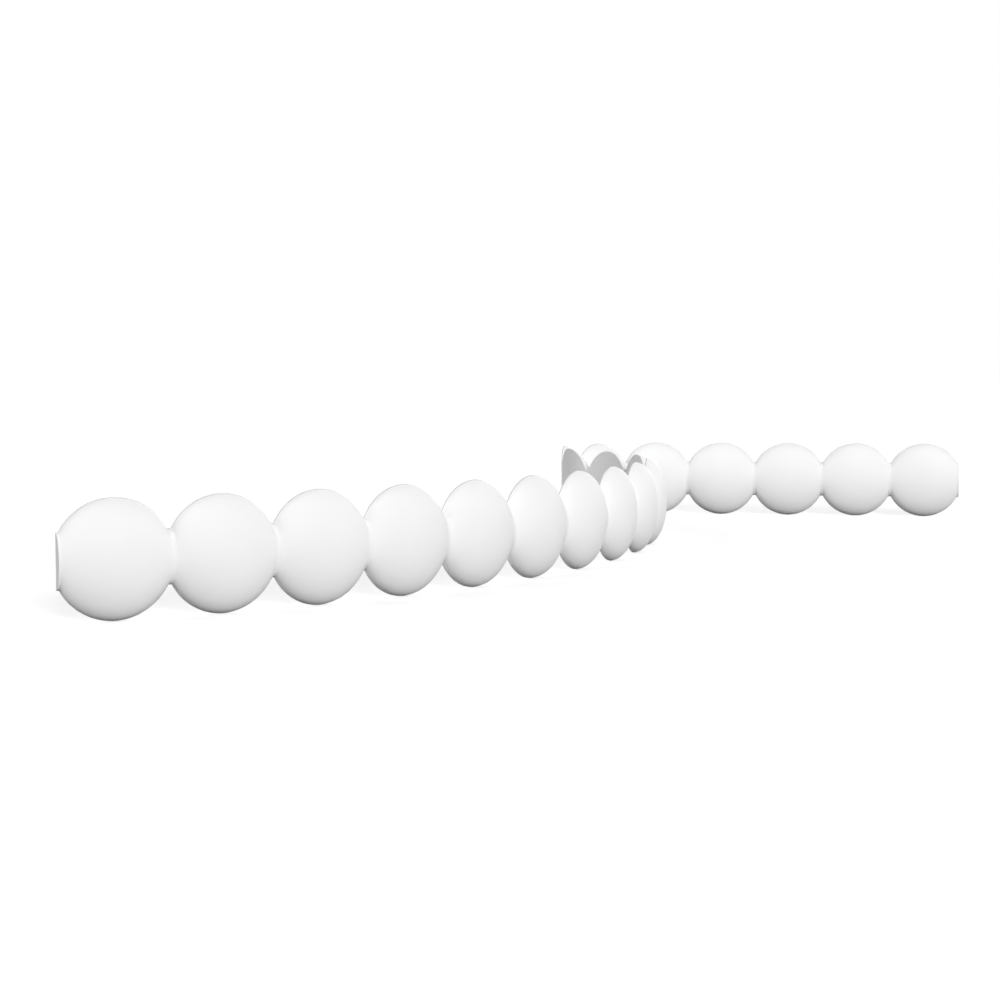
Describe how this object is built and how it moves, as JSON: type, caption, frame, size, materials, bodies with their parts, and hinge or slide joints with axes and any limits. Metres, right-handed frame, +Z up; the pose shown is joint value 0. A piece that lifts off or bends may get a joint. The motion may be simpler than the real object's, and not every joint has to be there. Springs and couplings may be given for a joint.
{
  "type": "wall moulding",
  "caption": "White bead moulding for walls: round domed beads joined edge to edge on a slim spine, one moulded length bent in plan to follow a bulging and then hollow wall.",
  "frame": {"origin": "bottom centre of the moulding's box, on the level surface that its bead rims stand on", "axes": "+X along the straight far run towards the far end, +Y into the wall behind the far run, +Z up across the moulding's height"},
  "size_m": [0.8558, 1.3274, 0.108],
  "materials": {
    "white_primer": "smooth white factory primer on moulded polyurethane, matt with a soft sheen"
  },
  "bodies": {
    "root": {"bead_moulding": "white_primer"}
  },
  "joints": []
}
